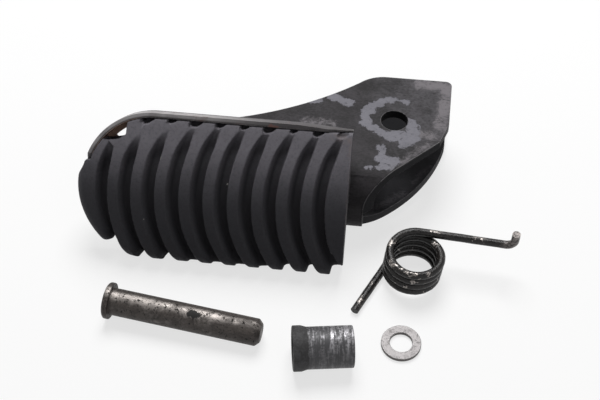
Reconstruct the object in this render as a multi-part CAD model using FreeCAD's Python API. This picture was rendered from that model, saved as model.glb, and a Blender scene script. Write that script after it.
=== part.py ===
# Folding motorcycle footpeg lying on its side with its pivot hardware taken off
# and laid out in front of it.
# Millimetres. X runs along the peg from its tip to the pivot, Z is up.
# The origin is on the pivot bore's axis, at the outer face of the lower ear.
import FreeCAD, Part
import math
import os

# Pivot hardware
pin_diameter = 10.0
pin_length = 56.0
pin_head_diameter = 13.5
pin_head_thickness = 2.2
pin_end_chamfer = 1.6
pin_head_round = 0.6
collar_diameter = 15.0
collar_length = 21.4
collar_lip_diameter = 16.2
collar_lip_length = 3.0
collar_lip_slope = 2.0
collar_bore_clearance = 0.2
washer_bore = 8.2
washer_diameter = 14.5
washer_thickness = 1.6
wire_diameter = 3.0
spring_clearance = 0.25
spring_pitch = 3.08
spring_turns = 4.193
turn_chords = 10
leg_length = 26.0
arm_leg_length = 33.0
hook_slant = 2.8
hook_length = 4.2

# Clevis arm, a pressed channel whose two flanges end in the pivot ears
sheet = 4.0
bore_clearance = 0.2
collar_end_play = 0.4
bend_radius = 12.0
ear_back = 24.0
ear_reach = 21.7
lower_back = 5.0
ear_front = 36.4
ear_corner = 2.5
nose_depth = 9.6
nose_reach = 17.9
nose_run = 0.5
cut_end = -9.0
lower_start = 14.0
lower_waist = 10.9
lower_waist_depth = 11.5
lower_end = 30.2
shoulder_start = -5.0
shoulder_sag = 1.1
shoulder_end = -14.9
shoulder_drop = 4.4
sweep_middle = -36.0
sweep_middle_drop = 18.7
sweep_end = -61.4
sweep_drop = 29.3
tail_end = -88.0
tail_drop = 39.0
seat_depth = 1.5

# Tread: pressed tray and the rubber pad that sits in it
tread_elevation = 38.0
tread_end = -14.7
tread_length = 102.0
tread_half_width = 26.5
tray_sheet = 1.8
rim_height = 8.5
rim_bend = 1.3
rim_gap = 0.2
rim_start = 33.0
rim_rise = 5.0
rim_end_run = 9.0
rim_end_height = 3.5
rim_thin_start = 20.0
rim_thin_end = 0.5
tip_overhang = 2.5
pad_edge = 8.0
pad_crown = 15.0
pad_edge_slope = 3.0
pad_corner_round = 7.0
pad_turn_in = 27.5
groove_count = 10
groove_pitch = 9.0
groove_width = 4.0
groove_depth = 4.5
groove_radius = 55.0
last_rib = 8.0
window_angle = 38.0
window_span = 13.0
window_width = 2.0
window_inset = 2.1
pocket_angle = 36.5
pocket_span = 25.0
stud_diameter = 5.0
stud_head_diameter = 8.0
stud_head_thickness = 2.2
stud_places = ((81.3, 24.0), (45.3, 11.0), (13.3, 11.0))

# Where the loose pieces lie: the place of each one's near end or middle, and its turn about Z
pin_place = (-96.5, -80.5)
pin_turn = -6.6
collar_place = (-28.9, -94.1)
collar_turn = 10.0
washer_place = (9.1, -82.8)
spring_place = (11.6, -51.7)
spring_turn = 155.2

# Sizes that follow from the ones above
ear_gap = collar_length + collar_end_play
arm_height = ear_gap + 2 * sheet
bore_radius = pin_diameter / 2 + bore_clearance
web_front = -ear_front
bend_y = web_front + bend_radius
bend_z = arm_height - bend_radius
tread_slope = math.radians(tread_elevation)
seat_distance = bend_radius - seat_depth
tread_foot = bend_y - (seat_distance + bend_z * math.sin(tread_slope)) / math.cos(tread_slope)
pad_tip_centre = tread_end - tread_length + tread_half_width
tray_tip_centre = pad_tip_centre + tip_overhang
tray_middle = tread_half_width + tray_sheet + rim_gap
margin = 20.0
tiny = 0.001


def vec(x, y, z=0.0):
    return FreeCAD.Vector(x, y, z)


def line(start, end):
    return Part.LineSegment(start, end).toShape()


def arc(start, through, end):
    return Part.Arc(start, through, end).toShape()


def prism(edges, height):
    return Part.Face(Part.Wire(edges)).extrude(height)


def polygon(points, height):
    return Part.Face(Part.makePolygon(points + points[:1])).extrude(height)


def on_tread(shape):
    # Local X along the peg, Y across the tread, Z out of the tread.
    shape.rotate(vec(0, 0), vec(1, 0), 90 - tread_elevation)
    shape.translate(vec(0, tread_foot))
    return shape


def lie(shape, place, turn):
    # Turns a piece about Z, lowers it to the ground and moves it to its place.
    shape.rotate(vec(0, 0), vec(0, 0, 1), turn)
    shape.translate(vec(place[0], place[1], -shape.optimalBoundingBox(False, False).ZMin))
    return shape


def channel_section(offset):
    # Section of the channel in YZ, shrunk by offset on its closed sides.
    front = web_front + offset
    radius = bend_radius - offset
    back = ear_back + margin
    low = offset
    high = arm_height - offset
    middle = radius * math.sqrt(0.5)
    return [
        line(vec(0, back, low), vec(0, front + radius, low)),
        arc(vec(0, front + radius, low),
            vec(0, front + radius - middle, low + radius - middle),
            vec(0, front, low + radius)),
        line(vec(0, front, low + radius), vec(0, front, high - radius)),
        arc(vec(0, front, high - radius),
            vec(0, front + radius - middle, high - radius + middle),
            vec(0, front + radius, high)),
        line(vec(0, front + radius, high), vec(0, back, high)),
        line(vec(0, back, high), vec(0, back, low)),
    ]


def arm_outline(back):
    # Plan of a flange: slanted cut at the pivot end, swept back edge, narrow tail.
    corner = ear_corner * (1 - math.sqrt(0.5))
    tail_back = back - tail_drop
    shoulder = vec(shoulder_end, back - shoulder_drop)
    sweep = vec(sweep_end, back - sweep_drop)
    shoulder_middle = vec((shoulder_start + shoulder_end) / 2, back - shoulder_sag)
    return [
        line(vec(tail_end, web_front), vec(cut_end, web_front)),
        line(vec(cut_end, web_front), vec(nose_reach, -nose_depth)),
        line(vec(nose_reach, -nose_depth), vec(ear_reach - nose_run, 0)),
        line(vec(ear_reach - nose_run, 0), vec(ear_reach, back - ear_corner)),
        arc(vec(ear_reach, back - ear_corner),
            vec(ear_reach - corner, back - corner),
            vec(ear_reach - ear_corner, back)),
        line(vec(ear_reach - ear_corner, back), vec(shoulder_start, back)),
        arc(vec(shoulder_start, back), shoulder_middle, shoulder),
        arc(shoulder, vec(sweep_middle, back - sweep_middle_drop), sweep),
        line(sweep, vec(tail_end, tail_back)),
        line(vec(tail_end, tail_back), vec(tail_end, web_front)),
    ]


def lower_trim():
    # The lower ear is cut further back than the upper one, in a curve.
    outside = ear_reach + margin
    start = vec(ear_reach, lower_start)
    end = vec(cut_end, -lower_end)
    front = web_front - margin
    plan = [
        arc(start, vec(lower_waist, -lower_waist_depth), end),
        line(end, vec(cut_end, front)),
        line(vec(cut_end, front), vec(outside, front)),
        line(vec(outside, front), vec(outside, lower_start)),
        line(vec(outside, lower_start), start),
    ]
    return prism(plan, vec(0, 0, arm_height / 2))


def tread_side():
    # Everything on the tread's side of the seat, along the tray's length.
    reach = 2 * tread_length
    block = Part.makeBox(reach, 2 * reach, reach, vec(tread_end - reach, -reach, 0))
    return on_tread(block)


def clevis_arm():
    length = ear_reach - tail_end
    hollow = prism(channel_section(sheet), vec(length, 0))
    channel = prism(channel_section(0), vec(length, 0)).cut(hollow)
    channel.translate(vec(tail_end, 0))
    upper = prism(arm_outline(ear_back), vec(0, 0, arm_height))
    lower = prism(arm_outline(ear_back + lower_back), vec(0, 0, arm_height / 2))
    arm = channel.common(upper.fuse(lower))
    bore = Part.makeCylinder(bore_radius, arm_height)
    return arm.cut([lower_trim(), tread_side(), bore]).removeSplitter()


def tread_plan(radius, tip_centre, middle, end):
    # Straight sides with a round tip.
    return [
        line(vec(end, middle - radius), vec(tip_centre, middle - radius)),
        arc(vec(tip_centre, middle - radius),
            vec(tip_centre - radius, middle),
            vec(tip_centre, middle + radius)),
        line(vec(tip_centre, middle + radius), vec(end, middle + radius)),
        line(vec(end, middle + radius), vec(end, middle - radius)),
    ]


def inside_rim(clearance, end):
    plan = tread_plan(tread_half_width - tray_sheet - clearance, tray_tip_centre, tray_middle, end)
    return prism(plan, vec(0, 0, pad_crown + margin))


def rim_fall():
    # Above this wedge the rim is cut away, so that it stands only on the back half.
    low = tray_sheet
    high = rim_height + margin
    front = -margin
    start = vec(tread_end - tread_length - margin, 0)
    points = [
        start + vec(0, front, low),
        start + vec(0, rim_start, low),
        start + vec(0, rim_start + rim_rise, rim_height),
        start + vec(0, rim_start + rim_rise, high),
        start + vec(0, front, high),
    ]
    return polygon(points, vec(tread_length + 2 * margin, 0))


def tip_sector(outer, width, angle, span):
    # Upright piece of a ring round the tray's tip, angle being its middle's turn from the side.
    sector = Part.makeCylinder(outer, pad_crown + margin, vec(0, 0), vec(0, 0, 1), span)
    piece = sector.cut(Part.makeCylinder(outer - width, pad_crown + margin))
    piece.rotate(vec(0, 0), vec(0, 0, 1), 90 + angle - span / 2)
    piece.translate(vec(tray_tip_centre, tray_middle, -margin / 2))
    return piece


def tip_window():
    # Hole through the tray, a little inside the rim at the tip's back corner.
    outer = tread_half_width - tray_sheet - window_inset
    return tip_sector(outer, window_width, window_angle, window_span)


def tip_pocket():
    # Space that the pad leaves round the hole, as far out as the rim.
    return tip_sector(tread_half_width, tray_sheet + window_inset + window_width, pocket_angle, pocket_span)


def rim_thinning():
    # Slanted cut that thins the rim towards the tread's end.
    inner = tray_middle + tread_half_width - tray_sheet + rim_thin_end
    outer = tray_middle + tread_half_width
    points = [
        vec(tread_end - rim_thin_start, outer),
        vec(tread_end, inner),
        vec(tread_end, outer + margin),
        vec(tread_end - rim_thin_start, outer + margin),
    ]
    return polygon(points, vec(0, 0, rim_height))


def rim_end_fall():
    # Slanted cut that lowers the rim over its last stretch.
    points = [
        vec(tread_end - rim_end_run, 0, rim_height),
        vec(tread_end, 0, rim_end_height),
        vec(tread_end, 0, rim_height + margin),
        vec(tread_end - rim_end_run, 0, rim_height + margin),
    ]
    return polygon(points, vec(0, 2 * (tray_middle + margin)))


def stud_cylinders(diameter, thickness, base):
    # Each place is how far from the tread's end, then how far across it.
    return [Part.makeCylinder(diameter / 2, thickness, vec(tread_end - back, across, base))
            for back, across in stud_places]


def bent_foot(solid, size):
    # Slopes the edges at the solid's foot, apart from the open end.
    foot = solid.BoundBox.ZMin
    end = solid.BoundBox.XMax
    edges = [edge for edge in solid.Edges
             if abs(edge.BoundBox.ZMax - foot) < tiny and end - edge.BoundBox.XMin > tiny]
    return solid.makeChamfer(size, edges)


def tray_blank():
    plan = tread_plan(tread_half_width, tray_tip_centre, tray_middle, tread_end)
    return prism(plan, vec(0, 0, rim_height))


def tray_body(blank):
    hollow = inside_rim(0, tread_end + margin)
    hollow.translate(vec(0, 0, tray_sheet))
    holes = stud_cylinders(stud_diameter, tray_sheet, 0)
    return blank.cut([hollow, rim_fall(), rim_thinning(), rim_end_fall(), tip_window()] + holes)


def crowned_body(drop):
    # Pad body with a round crown and a domed tip, its top lowered by drop.
    edge = pad_edge - drop
    crown = pad_crown - drop
    radius = tread_half_width
    near = vec(pad_tip_centre, 0, edge)
    far = vec(pad_tip_centre, 2 * radius, edge)
    top = vec(pad_tip_centre, radius, crown)
    round_top = Part.Arc(near, top, far)
    section = [
        line(vec(pad_tip_centre, 0), near),
        round_top.toShape(),
        line(far, vec(pad_tip_centre, 2 * radius)),
        line(vec(pad_tip_centre, 2 * radius), vec(pad_tip_centre, 0)),
    ]
    half_angle = (round_top.FirstParameter + round_top.LastParameter) / 2
    half_top = round_top.value((round_top.FirstParameter + half_angle) / 2)
    half = Part.Face(Part.Wire([
        line(vec(pad_tip_centre, 0), near),
        arc(near, half_top, top),
        line(top, vec(pad_tip_centre, radius)),
        line(vec(pad_tip_centre, radius), vec(pad_tip_centre, 0)),
    ]))
    straight = prism(section, vec(tread_end - pad_tip_centre, 0))
    tip = half.revolve(vec(pad_tip_centre, radius), vec(0, 0, 1), -180)
    return straight.fuse(tip).removeSplitter()


def trimmed_body():
    # The crowned body with a rounded front corner and a sloped brink all round.
    body = crowned_body(0)
    corner = [item for item in body.Edges
              if item.BoundBox.XMin > tread_end - tiny and item.BoundBox.YMax < tiny]
    body = body.makeFillet(pad_corner_round, corner)
    brink = [item for item in body.Edges
             if abs(item.BoundBox.ZMin - pad_edge) < tiny and abs(item.BoundBox.ZMax - pad_edge) < tiny]
    return body.makeChamfer(pad_edge_slope, brink)


def grooves():
    # Curved grooves of even depth, bulging toward the tip.
    core = crowned_body(groove_depth)
    first = tread_end - last_rib - groove_width / 2 - (groove_count - 1) * groove_pitch
    cuts = []
    for index in range(groove_count):
        centre = vec(first + index * groove_pitch + groove_radius, tread_half_width)
        ring = Part.makeCylinder(groove_radius + groove_width / 2, pad_crown + margin, centre)
        hole = Part.makeCylinder(groove_radius - groove_width / 2, pad_crown + margin, centre)
        cuts.append(ring.cut(hole).cut(core))
    return cuts


def rim_keepout():
    # The pad turns in at the tip and stays inside the rim wherever the rim stands.
    tip = tread_end - tread_length
    far = tread_length + margin
    points = [
        vec(tip - margin, pad_turn_in),
        vec(tip, pad_turn_in),
        vec(tray_tip_centre - tread_half_width + tray_sheet, rim_start),
        vec(tread_end + margin, rim_start),
        vec(tread_end + margin, far),
        vec(tip - margin, far),
    ]
    block = polygon(points, vec(0, 0, pad_crown + margin))
    return block.cut(inside_rim(rim_gap, tread_end + margin))


def tread_tray():
    return on_tread(tray_body(bent_foot(tray_blank(), rim_bend)))


def rubber_pad():
    body = trimmed_body().cut([rim_keepout(), tip_pocket(), tray_body(tray_blank())])
    body = body.cut(grooves())
    heads = stud_cylinders(stud_head_diameter, stud_head_thickness, -stud_head_thickness)
    return on_tread(body.fuse(heads).removeSplitter())


def pivot_pin():
    # Headed pin on its side, resting on the head's rim and the far end of the shank.
    radius = pin_diameter / 2
    head = pin_head_diameter / 2
    shoulder = pin_length - pin_end_chamfer
    profile = [
        vec(-pin_head_thickness, 0, 0),
        vec(-pin_head_thickness, 0, head - pin_head_round),
        vec(-pin_head_thickness + pin_head_round, 0, head),
        vec(0, 0, head),
        vec(0, 0, radius),
        vec(shoulder, 0, radius),
        vec(pin_length, 0, radius - pin_end_chamfer),
        vec(pin_length, 0, 0),
    ]
    pin = Part.Face(Part.makePolygon(profile + profile[:1])).revolve(vec(0, 0), vec(1, 0), 360)
    pin.rotate(vec(0, 0), vec(0, 1), math.degrees(math.atan((head - radius) / shoulder)))
    return lie(pin, pin_place, pin_turn)


def pivot_collar():
    # Bush on its side, with one end left fatter where the spring never rubbed.
    bore = pin_diameter / 2 + collar_bore_clearance
    radius = collar_diameter / 2
    lip = collar_lip_diameter / 2
    profile = [
        vec(0, 0, bore),
        vec(0, 0, lip),
        vec(collar_lip_length, 0, lip),
        vec(collar_lip_length + collar_lip_slope, 0, radius),
        vec(collar_length, 0, radius),
        vec(collar_length, 0, bore),
    ]
    collar = Part.Face(Part.makePolygon(profile + profile[:1])).revolve(vec(0, 0), vec(1, 0), 360)
    collar.rotate(vec(0, 0), vec(0, 1), math.degrees(math.atan((lip - radius) / collar_length)))
    return lie(collar, collar_place, collar_turn)


def washer():
    ring = Part.makeCylinder(washer_diameter / 2, washer_thickness)
    return lie(ring.cut(Part.makeCylinder(washer_bore / 2, washer_thickness)), washer_place, 0)


def coil_point(radius, turn):
    angle = -2 * math.pi * turn
    return vec(radius * math.cos(angle), radius * math.sin(angle), spring_pitch * turn)


def coil_run(turn):
    # Level direction in which the wire runs at that turn.
    angle = -2 * math.pi * turn
    return vec(math.sin(angle), -math.cos(angle))


def torsion_spring():
    # Close left-hand coil with a straight leg at its foot and a hooked leg at its top.
    radius = collar_lip_diameter / 2 + spring_clearance + wire_diameter / 2
    count = round(spring_turns * turn_chords)
    coil = [coil_point(radius, spring_turns * index / count) for index in range(count + 1)]
    top_run = coil_run(spring_turns)
    leg_end = coil[0] - coil_run(0) * leg_length
    hook_start = coil[-1] + top_run * arm_leg_length
    up = vec(0, 0, 1)
    hook_bend = hook_start + (top_run + up) * hook_slant
    hook = [hook_start, hook_bend, hook_bend + up * hook_length]
    route = Part.makePolygon([leg_end] + coil + hook)
    circle = Part.Wire(Part.makeCircle(wire_diameter / 2, leg_end, coil_run(0)))
    return lie(route.makePipeShell([circle], True, True, 1), spring_place, spring_turn)


pieces = {
    "clevis_arm": clevis_arm,
    "tread_tray": tread_tray,
    "rubber_pad": rubber_pad,
    "pivot_pin": pivot_pin,
    "pivot_collar": pivot_collar,
    "washer": washer,
    "torsion_spring": torsion_spring,
}

os.makedirs("parts", exist_ok=True)
for name, make in pieces.items():
    piece = make()
    piece.exportStep("parts/" + name + ".step")
    print(name, piece.isValid(), len(piece.Solids), round(piece.Volume, 1))
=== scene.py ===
import math

import bmesh
import bpy
from mathutils import Matrix, Vector


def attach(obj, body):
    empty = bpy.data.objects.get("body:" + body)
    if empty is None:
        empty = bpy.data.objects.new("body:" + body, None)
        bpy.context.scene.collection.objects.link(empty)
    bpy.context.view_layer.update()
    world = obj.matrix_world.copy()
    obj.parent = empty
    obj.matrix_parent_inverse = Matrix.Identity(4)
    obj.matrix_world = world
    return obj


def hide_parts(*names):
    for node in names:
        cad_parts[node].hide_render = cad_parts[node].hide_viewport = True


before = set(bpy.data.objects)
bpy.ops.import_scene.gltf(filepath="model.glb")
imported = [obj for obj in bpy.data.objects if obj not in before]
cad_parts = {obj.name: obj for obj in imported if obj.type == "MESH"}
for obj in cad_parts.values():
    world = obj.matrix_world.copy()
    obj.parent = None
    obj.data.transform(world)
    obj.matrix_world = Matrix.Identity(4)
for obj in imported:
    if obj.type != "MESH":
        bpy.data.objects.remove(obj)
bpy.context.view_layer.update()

mm = 0.001
bpy.context.scene.view_settings.view_transform = "Standard"
print("frame loaded:", sorted(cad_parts))


# Node sums: a field is one output that can be added, multiplied and ramped.
class field:
    def __init__(self, tree, out):
        self.tree = tree
        self.out = out

    def op(self, kind, *values):
        node = self.tree.nodes.new("ShaderNodeMath")
        node.operation = kind
        for place, value in zip(node.inputs, values):
            plug(self.tree, place, value)
        return field(self.tree, node.outputs[0])

    def __add__(self, other):
        return self.op("ADD", self, other)

    def __radd__(self, other):
        return self.op("ADD", other, self)

    def __sub__(self, other):
        return self.op("SUBTRACT", self, other)

    def __rsub__(self, other):
        return self.op("SUBTRACT", other, self)

    def __mul__(self, other):
        return self.op("MULTIPLY", self, other)

    def __rmul__(self, other):
        return self.op("MULTIPLY", other, self)

    def __truediv__(self, other):
        return self.op("DIVIDE", self, other)


def plug(tree, place, value):
    if isinstance(value, field):
        tree.links.new(value.out, place)
    else:
        place.default_value = value


def ramp(value, low, high, start=0.0, end=1.0):
    node = value.tree.nodes.new("ShaderNodeMapRange")
    node.interpolation_type = "SMOOTHSTEP"
    for place, item in zip(node.inputs, (value, low, high, start, end)):
        plug(value.tree, place, item)
    return field(value.tree, node.outputs[0])


def span(value, limits, start=0.0, end=1.0):
    # A ramp between two places given in mm.
    return ramp(value, limits[0] * mm, limits[1] * mm, start, end)


def angleSpan(value, limits):
    # A ramp between two angles given in degrees.
    return ramp(value, math.radians(limits[0]), math.radians(limits[1]))


def root(value):
    return value.op("SQRT", value)


def lesser(value, other):
    return value.op("MINIMUM", value, other)


def greater(value, other):
    return value.op("MAXIMUM", value, other)


def between(start, end, share):
    return start + (end - start) * share


def splitVector(tree, out):
    node = tree.nodes.new("ShaderNodeSeparateXYZ")
    tree.links.new(out, node.inputs[0])
    return [field(tree, item) for item in node.outputs]


def joinVector(tree, x, y, z):
    node = tree.nodes.new("ShaderNodeCombineXYZ")
    for place, value in zip(node.inputs, (x, y, z)):
        plug(tree, place, value)
    return node.outputs[0]


# Camera: 50 degrees above the table, a little to the pivot's side of the peg.
shot = {
    "place": (-2.7, -300.4, 337.1),  # mm
    "aim": (-34.7, -19.4, 0.0),
    "lens": 66.0,
    "sensor": 36.0,
    "nearest": 0.01,
}


def makeCamera():
    data = bpy.data.cameras.new("photoCamera")
    data.lens = shot["lens"]
    data.sensor_width = shot["sensor"]
    data.clip_start = shot["nearest"]
    camera = bpy.data.objects.new("photoCamera", data)
    place = Vector(shot["place"]) * mm
    camera.location = place
    camera.rotation_euler = (Vector(shot["aim"]) * mm - place).to_track_quat("-Z", "Y").to_euler()
    bpy.context.collection.objects.link(camera)
    bpy.context.scene.camera = camera


makeCamera()
print("camera set")


# Shader helpers
def newMaterial(name):
    made = bpy.data.materials.new(name)
    made.use_nodes = True
    tree = made.node_tree
    return made, tree, tree.nodes["Principled BSDF"]


def coords(tree, place=(0, 0, 0), turn=(0, 0, 0)):
    # Object coordinates, seen from a frame at place that is turned by turn.
    source = tree.nodes.new("ShaderNodeTexCoord")
    node = tree.nodes.new("ShaderNodeMapping")
    node.vector_type = "TEXTURE"
    node.inputs["Location"].default_value = place
    node.inputs["Rotation"].default_value = turn
    tree.links.new(source.outputs["Object"], node.inputs["Vector"])
    return node.outputs[0]


def stretched(tree, vector, scale):
    node = tree.nodes.new("ShaderNodeMapping")
    node.inputs["Scale"].default_value = scale
    tree.links.new(vector, node.inputs["Vector"])
    return node.outputs[0]


def noise(tree, vector, scale, detail=4.0, rough=0.55, warp=0.0):
    node = tree.nodes.new("ShaderNodeTexNoise")
    node.inputs["Scale"].default_value = scale
    node.inputs["Detail"].default_value = detail
    node.inputs["Roughness"].default_value = rough
    node.inputs["Distortion"].default_value = warp
    tree.links.new(vector, node.inputs["Vector"])
    return field(tree, node.outputs[0])


def attribute(tree, name):
    node = tree.nodes.new("ShaderNodeAttribute")
    node.attribute_name = name
    return field(tree, node.outputs["Fac"])


def mixColour(share, first, second):
    node = share.tree.nodes.new("ShaderNodeMix")
    node.data_type = "RGBA"
    share.tree.links.new(share.out, node.inputs[0])
    for place, value in ((node.inputs[6], first), (node.inputs[7], second)):
        if isinstance(value, field):
            share.tree.links.new(value.out, place)
        else:
            place.default_value = tuple(value) + (1.0,)
    return field(share.tree, node.outputs[2])


def relief(shader, height, strength, distance):
    tree = height.tree
    node = tree.nodes.new("ShaderNodeBump")
    node.inputs["Strength"].default_value = strength
    node.inputs["Distance"].default_value = distance
    tree.links.new(height.out, node.inputs["Height"])
    tree.links.new(node.outputs[0], shader.inputs["Normal"])


def finishShader(tree, shader, colour, rough, metal=None):
    tree.links.new(colour.out, shader.inputs["Base Color"])
    tree.links.new(rough.out, shader.inputs["Roughness"])
    if metal is not None:
        tree.links.new(metal.out, shader.inputs["Metallic"])


def strokeShare(x, y, warp, strokes, soft=0.25):
    # How far a point is inside any of the given strokes: start, end and half width, mm.
    share = None
    for startX, startY, endX, endY, width in strokes:
        runX = (endX - startX) * mm
        runY = (endY - startY) * mm
        length = runX ** 2 + runY ** 2
        fromX = x - startX * mm
        fromY = y - startY * mm
        along = lesser(greater((fromX * runX + fromY * runY) / length, 0.0), 1.0)
        offX = fromX - along * runX
        offY = fromY - along * runY
        near = span(root(offX * offX + offY * offY) + warp, (width + soft, width - soft))
        share = near if share is None else greater(share, near)
    return share


# Tray: dark paint, bare along the rim's top, with rust, and painted light on the rust in the shadowed
# pocket at the tip.
trayLook = {
    "edgeWidth": 0.35,  # mm
    "foot": (0.0, -51.63, 0.0),  # where the plane of the tray's back meets the ground, mm
    "slope": 52.0,
    "tip": (-87.7, 28.5, 25.0),  # middle of the round tip, and how far out the rim's top starts, mm
    "rimSoft": (0.6, 0.4),  # how softly the rim's outside and its inside start there, mm
    "rimTop": (2.0, 4.0),  # heights over the tray's back, mm
    "rimInside": (0.8, 1.4),
    "tipFrom": (-92.0, -96.0),  # this and the next three are places along the tread, mm
    "wallDulls": (-78.0, -38.0),
    "wallEnds": (-22.0, -32.0),
    "edgeFades": (-20.0, -60.0),
    "paint": (0.050, 0.046, 0.047),
    "worn": (0.105, 0.098, 0.102),
    "wall": (0.46, 0.44, 0.445),
    "dullWall": (0.080, 0.073, 0.077),
    "rust": (0.15, 0.085, 0.072),
    "redRust": (0.21, 0.105, 0.09),
    "bareEdge": (0.42, 0.40, 0.40),
    # rust made bright as painted light for the shadowed pocket at the tip
    "tipRustAndLight": (0.62, 0.42, 0.33),
    "spots": ((-44.4, 53.3, -42.6, 53.2, 0.55),),
}


def treadCoords(tree):
    # Along the tread, across it from its front edge, and out from the tray's back.
    return coords(tree, Vector(trayLook["foot"]) * mm, (math.radians(trayLook["slope"]), 0, 0))


def trayMaterial():
    look = trayLook
    made, tree, shader = newMaterial("rustyTrayPaint")
    vector = treadCoords(tree)
    x, across, out = splitVector(tree, vector)
    grain = noise(tree, vector, 1400.0, 4.0, 0.65)
    cloud = noise(tree, vector, 160.0, 6.0, 0.6, 0.4)
    patch = noise(tree, vector, 75.0, 5.0, 0.6, 0.3)
    tipX, middle, outside = look["tip"]
    past = lesser(x - tipX * mm, 0.0)
    fromMiddle = across - middle * mm
    fromTip = root(past * past + fromMiddle * fromMiddle)
    softOut, softIn = look["rimSoft"]
    wall = span(fromTip, (outside, outside + softOut)) * span(out, look["rimTop"])
    litInner = span(fromTip, (outside, outside - softIn)) * span(out, look["rimInside"])
    litInner = litInner * span(x, look["tipFrom"])
    worn = ramp(cloud, 0.30, 0.60)
    edge = attribute(tree, "edge") * ramp(cloud * 0.6 + grain * 0.4, 0.36, 0.56)
    colour = mixColour(ramp(grain * 0.5 + cloud * 0.5, 0.36, 0.62), look["paint"], look["worn"])
    side = mixColour(span(x + (cloud - 0.5) * 0.03, look["wallDulls"]), look["wall"], look["dullWall"])
    colour = mixColour(wall * (0.6 + worn * 0.4) * span(x, look["wallEnds"], 0.15, 1.0), colour, side)
    colour = mixColour(edge * span(x, look["edgeFades"], 0.2, 0.75), colour, look["bareEdge"])
    colour = mixColour(ramp(patch, 0.58, 0.68) * ramp(grain, 0.3, 0.6) * 0.7, colour, look["rust"])
    spots = strokeShare(x, across, (cloud - 0.5) * 0.006, look["spots"])
    colour = mixColour(spots * 0.7, colour, look["redRust"])
    # Painted light: the rust colour at the tip is made bright to stand in for light inside the shadowed
    # pocket.
    colour = mixColour(litInner * ramp(cloud, 0.2, 0.55), colour, look["tipRustAndLight"])
    rough = 0.48 + grain * 0.25
    finishShader(tree, shader, colour, rough, wall * 0.2)
    shader.inputs["Specular IOR Level"].default_value = 0.25
    relief(shader, grain * 0.6 + cloud * 0.4, 0.5, 0.00022)
    return made


# Rubber: dull charcoal, lighter towards the rim as bleaching and painted sheen, darker in the grooves as
# painted shade, with a few specks of dust.
rubberLook = {
    # dark: a random darker tone, and painted shade in the grooves and dips
    "dark": (0.033, 0.032, 0.036),
    "face": (0.058, 0.057, 0.064),
    "bleachedWithSheen": (0.150, 0.143, 0.160),
    "speck": (0.30, 0.29, 0.28),
    "dust": (0.165, 0.137, 0.134),
    "bleachAndSheenAcross": (22.0, 46.0),  # from the front edge towards the rim, mm
    "dusty": (  # strokes at the end by the pivot: start, end and half width, mm
        (-21.5, 51.6, -15.6, 50.6, 1.3), (-15.4, 44.5, -15.2, 50.0, 0.6), (-14.8, 17.0, -14.8, 44.0, 0.2),
    ),
}


def rubberMaterial():
    look = rubberLook
    made, tree, shader = newMaterial("dullRubber")
    vector = treadCoords(tree)
    x, across = splitVector(tree, vector)[:2]
    groove = attribute(tree, "groove")
    cloud = noise(tree, vector, 70.0, 5.0, 0.6)
    grain = noise(tree, vector, 2600.0, 2.0)
    scuff = noise(tree, vector, 420.0, 6.0, 0.65, 0.4)
    mottle = noise(tree, vector, 950.0, 4.0, 0.7)
    streak = noise(tree, stretched(tree, vector, (1.0, 0.16, 0.16)), 900.0, 3.0, 0.6)
    # Bleached rubber and painted sheen: lighter towards the rim.
    bleachAndSheen = span(across + (cloud - 0.5) * 0.012, look["bleachAndSheenAcross"]) * (0.75 + scuff * 0.5)
    face = mixColour(bleachAndSheen, look["face"], look["bleachedWithSheen"])
    face = mixColour(ramp(mottle, 0.44, 0.70) * 0.3, face, look["dark"])
    # Painted shade: darker in the grooves and in the dips beside the rim.
    colour = mixColour(ramp(groove, 0.3, 1.0) * (1.0 - bleachAndSheen * 0.45), face, look["dark"])
    speck = ramp(noise(tree, vector, 330.0, 1.0), 0.795, 0.815)
    colour = mixColour(speck, colour, look["speck"])
    dust = strokeShare(x, across, (scuff - 0.5) * 0.006, look["dusty"]) * ramp(scuff, 0.35, 0.6)
    colour = mixColour(dust * 0.6, colour, look["dust"])
    rough = 0.56 + scuff * 0.2 + groove * 0.14
    finishShader(tree, shader, colour, rough)
    shader.inputs["Specular IOR Level"].default_value = 0.14
    relief(shader, grain * 0.25 + scuff * 0.4 + streak * 0.35, 0.4, 0.0002)
    return made


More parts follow.
